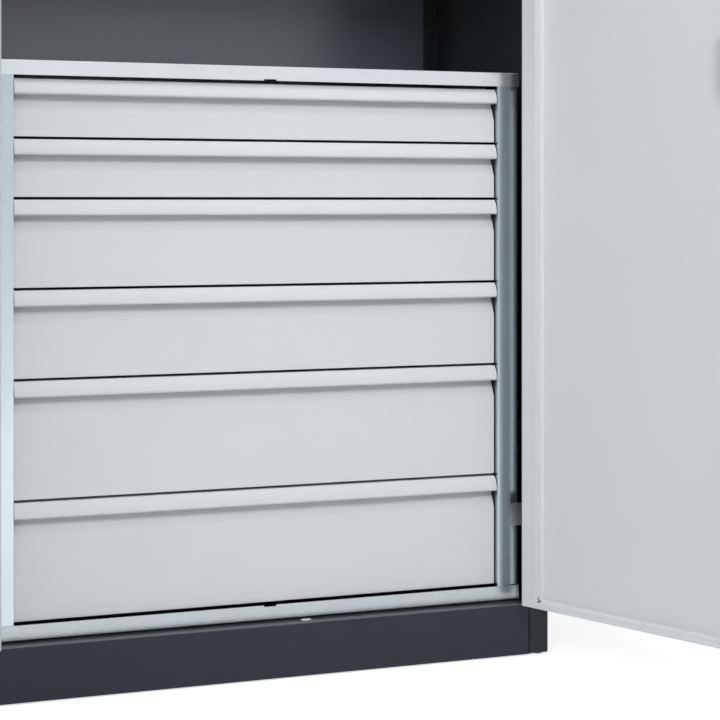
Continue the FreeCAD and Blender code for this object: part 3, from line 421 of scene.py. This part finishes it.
def door_bead(name, side, body):
    """Concave bead all round the inside of a door, over the slit between skin and folds."""
    axis = Vector((side * HINGE_X, HINGE_Y, 0.0))
    turn = Matrix.Rotation(side * math.radians(DOOR_OPEN_ANGLE), 4, "Z")
    opened = Matrix.Translation(axis) @ turn @ Matrix.Translation(-axis)
    form = bmesh.new()
    loops = []
    for inset, rise in bead_section():
        left, right = DOOR_INNER_LEFT + inset, DOOR_INNER_RIGHT - inset
        low, high = DOOR_INNER_LOW + inset, DOOR_INNER_HIGH - inset
        loop = []
        for x, z in ((left, low), (right, low), (right, high), (left, high)):
            loop.append(form.verts.new(opened @ Vector((side * x, DOOR_SKIN_BACK + rise, z))))
        loops.append(loop)
    for loop, after in zip(loops, loops[1:] + loops[:1]):
        for corner in range(4):
            far = (corner + 1) % 4
            form.faces.new((loop[corner], loop[far], after[far], after[corner]))
    bmesh.ops.recalc_face_normals(form, faces=form.faces)
    bead = linked_object(form, name)
    bead.data.materials.append(LOOKS["door_paint"])
    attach(bead, body)


door_bead("right_door_bead", 1.0, "right_door")
door_bead("left_door_bead", -1.0, "left_door")

# Painted shadow lines at the joints between the front plinth and the side panels: near-black
# strips where a thin gap would lie in shade

PLINTH_JOINT_X = 0.4867
PLINTH_JOINT_FRONT = -0.25
PLINTH_JOINT_LOW = 0.0035
PLINTH_JOINT_HIGH = 0.0925
JOINT_HALF_WIDTH = 0.0009
JOINT_RISE = 0.0002
JOINT_STEPS = 6
JOINT_SHADOW_PAINT = powder_coat("painted_joint_shadow", (0.0015, 0.0020, 0.0025), roughness=0.60,
                      gloss_level=0.05, peel=SMOOTH_PEEL)


def plinth_joint(name, side):
    """Thin rounded near-black strip, a painted shadow of the joint's gap, over the full height of
    one plinth joint.
    """
    form = bmesh.new()
    middle = side * PLINTH_JOINT_X
    rings = []
    for z in (PLINTH_JOINT_LOW, PLINTH_JOINT_HIGH):
        ring = []
        for step in range(JOINT_STEPS + 1):
            angle = math.pi * step / JOINT_STEPS
            x = middle + JOINT_HALF_WIDTH * math.cos(angle)
            y = PLINTH_JOINT_FRONT - JOINT_RISE * math.sin(angle)
            ring.append(form.verts.new((x, y, z)))
        for shift in (-JOINT_HALF_WIDTH, JOINT_HALF_WIDTH):
            y = PLINTH_JOINT_FRONT + JOINT_HALF_WIDTH
            ring.append(form.verts.new((middle + shift, y, z)))
        rings.append(ring)
    lower, upper = rings
    for step in range(len(lower)):
        after = (step + 1) % len(lower)
        form.faces.new((lower[step], lower[after], upper[after], upper[step]))
    form.faces.new(upper)
    form.faces.new(list(reversed(lower)))
    bmesh.ops.recalc_face_normals(form, faces=form.faces)
    joint = linked_object(form, name)
    joint.data.materials.append(JOINT_SHADOW_PAINT)
    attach(joint, "cabinet")


plinth_joint("plinth_joint_left", -1.0)
plinth_joint("plinth_joint_right", 1.0)

# Floor and world. Both look white to the camera and in gloss, and light the object plainly.

WHITE = (1.0, 1.0, 1.0, 1.0)
FLOOR_HALF_SIZE = 30.0
FLOOR_CLOUD = {"scale": 1.5}
FLOOR_SHADES = ((0.86, 0.86, 0.86), (0.90, 0.90, 0.90))
FLOOR_ROUGHNESS = 0.7
FLOOR_LIFT_REACH = (2.0, 6.0)
FLOOR_LIFT = (0.62, 1.0)
AMBIENT_COLOUR = (0.95, 0.975, 1.0, 1.0)
AMBIENT_STRENGTH = 0.11


def sharp_rays(tree):
    """1 for camera, glossy and transmission rays, 0 for the light that falls on things."""
    rays = tree.nodes.new("ShaderNodeLightPath")
    seen = rays.outputs["Is Camera Ray"]
    for ray in ("Is Glossy Ray", "Is Transmission Ray"):
        seen = maths(tree, "MAXIMUM", seen, rays.outputs[ray])
    return seen


def stage_floor():
    """Pale floor that keeps the shadow near the object and is white far away."""
    form = bmesh.new()
    bmesh.ops.create_grid(form, x_segments=1, y_segments=1, size=FLOOR_HALF_SIZE)
    floor = linked_object(form, "studio_floor")
    material, tree, shader, coords = new_material("pale_floor")
    cloud = spread(tree, noise(tree, coords, **FLOOR_CLOUD))
    tree.links.new(blended(tree, cloud, *FLOOR_SHADES), shader.inputs["Base Color"])
    shader.inputs["Roughness"].default_value = FLOOR_ROUGHNESS
    distance = tree.nodes.new("ShaderNodeVectorMath")
    distance.operation = "LENGTH"
    tree.links.new(coords, distance.inputs[0])
    lift = mapped(tree, distance.outputs["Value"], FLOOR_LIFT_REACH, FLOOR_LIFT)
    seen_lift = maths(tree, "MULTIPLY", sharp_rays(tree), lift)
    tree.links.new(seen_lift, shader.inputs["Emission Strength"])
    shader.inputs["Emission Color"].default_value = WHITE
    floor.data.materials.append(material)


def studio_world():
    """White where it is seen, and a weak cool light all round otherwise."""
    world = bpy.data.worlds.new("studio")
    world.use_nodes = True
    tree = world.node_tree
    tree.nodes.clear()
    seen = tree.nodes.new("ShaderNodeBackground")
    seen.inputs["Color"].default_value = WHITE
    seen.inputs["Strength"].default_value = 1.0
    around = tree.nodes.new("ShaderNodeBackground")
    around.inputs["Color"].default_value = AMBIENT_COLOUR
    around.inputs["Strength"].default_value = AMBIENT_STRENGTH
    mix = tree.nodes.new("ShaderNodeMixShader")
    out = tree.nodes.new("ShaderNodeOutputWorld")
    tree.links.new(sharp_rays(tree), mix.inputs["Fac"])
    tree.links.new(around.outputs["Background"], mix.inputs[1])
    tree.links.new(seen.outputs["Background"], mix.inputs[2])
    tree.links.new(mix.outputs["Shader"], out.inputs["Surface"])
    bpy.context.scene.world = world


stage_floor()
studio_world()

# Lamps: name, place, target, width and height, watts

LAMPS = (
    ("key", (-2.6, -3.4, 3.2), (0.1, -0.2, 0.8), (2.4, 2.4), 54.0),
    ("high", (0.3, -3.2, 2.5), (0.05, -0.2, 0.7), (0.9, 0.9), 48.0),
    ("front", (0.0, -3.6, 0.9), (0.05, -0.2, 0.6), (3.0, 1.6), 10.0),
    ("top", (0.0, -1.2, 4.2), (0.0, 0.0, 0.5), (2.8, 2.8), 56.0),
    ("back_left", (-3.0, 3.2, 2.8), (0.0, 0.3, 0.9), (2.4, 2.4), 50.0),
    ("back_right", (3.0, 3.2, 2.8), (0.0, 0.3, 0.9), (2.4, 2.4), 50.0),
)

for name, place, target, size, power in LAMPS:
    light = bpy.data.lights.new(name, "AREA")
    light.shape = "RECTANGLE"
    light.size, light.size_y = size
    light.energy = power
    lamp = bpy.data.objects.new(name, light)
    lamp.location = place
    aim = Vector(target) - Vector(place)
    lamp.rotation_euler = aim.to_track_quat("-Z", "Y").to_euler()
    lamp.visible_glossy = False
    bpy.context.scene.collection.objects.link(lamp)

# Camera. Its focal length and the point straight ahead are in pixels of the 720 x 720 frame.

FOCAL_PX = 1549.8
IMAGE_PX = 720.0
CENTRE_PX = (265.0, 202.66)
SENSOR_WIDTH_MM = 36.0
CAMERA_PLACE = (-0.8071, -2.7695, 0.8159)
CAMERA_TILT = 90.0
CAMERA_TURN = -17.508

camera_data = bpy.data.cameras.new("camera")
camera_data.sensor_width = SENSOR_WIDTH_MM
camera_data.lens = FOCAL_PX / IMAGE_PX * SENSOR_WIDTH_MM
camera_data.shift_x = (0.5 * IMAGE_PX - CENTRE_PX[0]) / IMAGE_PX
camera_data.shift_y = (CENTRE_PX[1] - 0.5 * IMAGE_PX) / IMAGE_PX
camera = bpy.data.objects.new("camera", camera_data)
camera.location = CAMERA_PLACE
camera.rotation_euler = (math.radians(CAMERA_TILT), 0.0, math.radians(CAMERA_TURN))
bpy.context.scene.collection.objects.link(camera)
bpy.context.scene.camera = camera
bpy.context.scene.view_settings.view_transform = "Standard"
bpy.context.scene.view_settings.look = "None"
